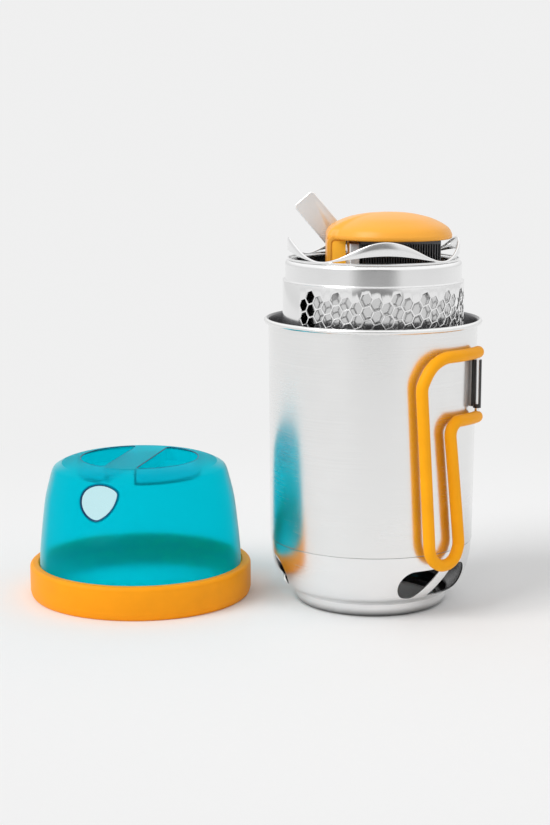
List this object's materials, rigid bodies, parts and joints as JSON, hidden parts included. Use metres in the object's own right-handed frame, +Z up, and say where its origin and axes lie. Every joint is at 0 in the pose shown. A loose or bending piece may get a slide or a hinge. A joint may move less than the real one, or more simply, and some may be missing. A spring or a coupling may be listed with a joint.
{
  "type": "nesting camp cook set",
  "caption": "Tall pot with a windowed skirt and folding loop handle, holding a nested perforated wood stove and its capped power module, beside a domed cover with a soft collar.",
  "frame": {"origin": "on the pot's axis, level with the table it stands on", "axes": "+Z up along the pot's axis, +X from the cover to the pot, -Y the front"},
  "size_m": [0.3043, 0.1656, 0.2718],
  "materials": {
    "brushed_steel_pot": "horizontally brushed, satin",
    "polished_steel": "bright, lightly polished",
    "inner_steel": "dull inner sheet",
    "bracket_black": "black, satin",
    "handle_silicone": "matt silicone",
    "cap_orange": "smooth satin",
    "panel_orange": "smooth satin",
    "heat_plate_alu": "machined",
    "copper_probe": "bare metal",
    "fin_black": "black anodised",
    "black_plastic": "matt",
    "wafer_ceramic": "matt",
    "battery_grey": "film wrapped",
    "board_green": "solder mask",
    "cover_blue": "translucent, gloss outside",
    "collar_orange": "matt silicone"
  },
  "bodies": {
    "pot": {"pot_body": "brushed_steel_pot", "pot_skirt": "brushed_steel_pot", "hinge_bracket": "bracket_black"},
    "handle": {"handle_wire": "polished_steel", "handle_sleeve": "handle_silicone"},
    "stove": {"heat_shield": "polished_steel", "honeycomb_band": "polished_steel", "top_cap": "polished_steel", "pot_stand": "polished_steel", "burn_chamber": "inner_steel", "chamber_floor": "inner_steel", "chamber_posts": "inner_steel", "base_pan": "polished_steel", "ground_leg_1": "polished_steel", "ground_leg_2": "polished_steel", "ground_leg_3": "polished_steel", "leg_rivet_1": "polished_steel", "leg_rivet_2": "polished_steel", "leg_rivet_3": "polished_steel"},
    "module": {"module_cap": "cap_orange", "module_shell": "panel_orange", "inset_panel": "panel_orange", "heat_plate": "heat_plate_alu", "heat_probe": "copper_probe", "fin_stack": "fin_black", "thermo_wafer": "wafer_ceramic", "fan_frame": "black_plastic", "battery": "battery_grey", "circuit_board": "board_green", "usb_port": "polished_steel", "leg_lug": "bracket_black", "leg_pin": "polished_steel"},
    "fan": {"fan_rotor": "black_plastic"},
    "button": {"power_button": "black_plastic"},
    "module_leg": {"support_leg": "polished_steel"},
    "cover": {"cover_dome": "cover_blue", "cover_collar": "collar_orange"}
  },
  "joints": [
    {"name": "handle_fold", "type": "hinge", "parent": "pot", "child": "handle", "pos_m": [0.06648, -0.03016, 0.15], "axis": [0, 0, 1], "range_deg": [0, 110]},
    {"name": "stove_lift", "type": "slide", "parent": "pot", "child": "stove", "axis": [0, 0, 1], "range_m": [0, 0.17]},
    {"name": "module_lift", "type": "slide", "parent": "stove", "child": "module", "axis": [0, 0, 1], "range_m": [0, 0.145]},
    {"name": "leg_swing", "type": "hinge", "parent": "module", "child": "module_leg", "pos_m": [-0.0255, 0.0333, 0.2438], "axis": [0, 1, 0], "range_deg": [-40, 36]},
    {"name": "fan_spin", "type": "hinge", "parent": "module", "child": "fan", "pos_m": [0.0177, 0, 0.178], "axis": [0, 0, 1], "continuous": true},
    {"name": "button_press", "type": "slide", "parent": "module", "child": "button", "axis": [1, 0, 0], "range_m": [0, 0.001], "stiffness_N_per_m": 400, "springref_m": -0.0008},
    {"name": "cover_lift", "type": "slide", "parent": "pot", "child": "cover", "axis": [0, 0, 1], "range_m": [0, 0.12]}
  ]
}
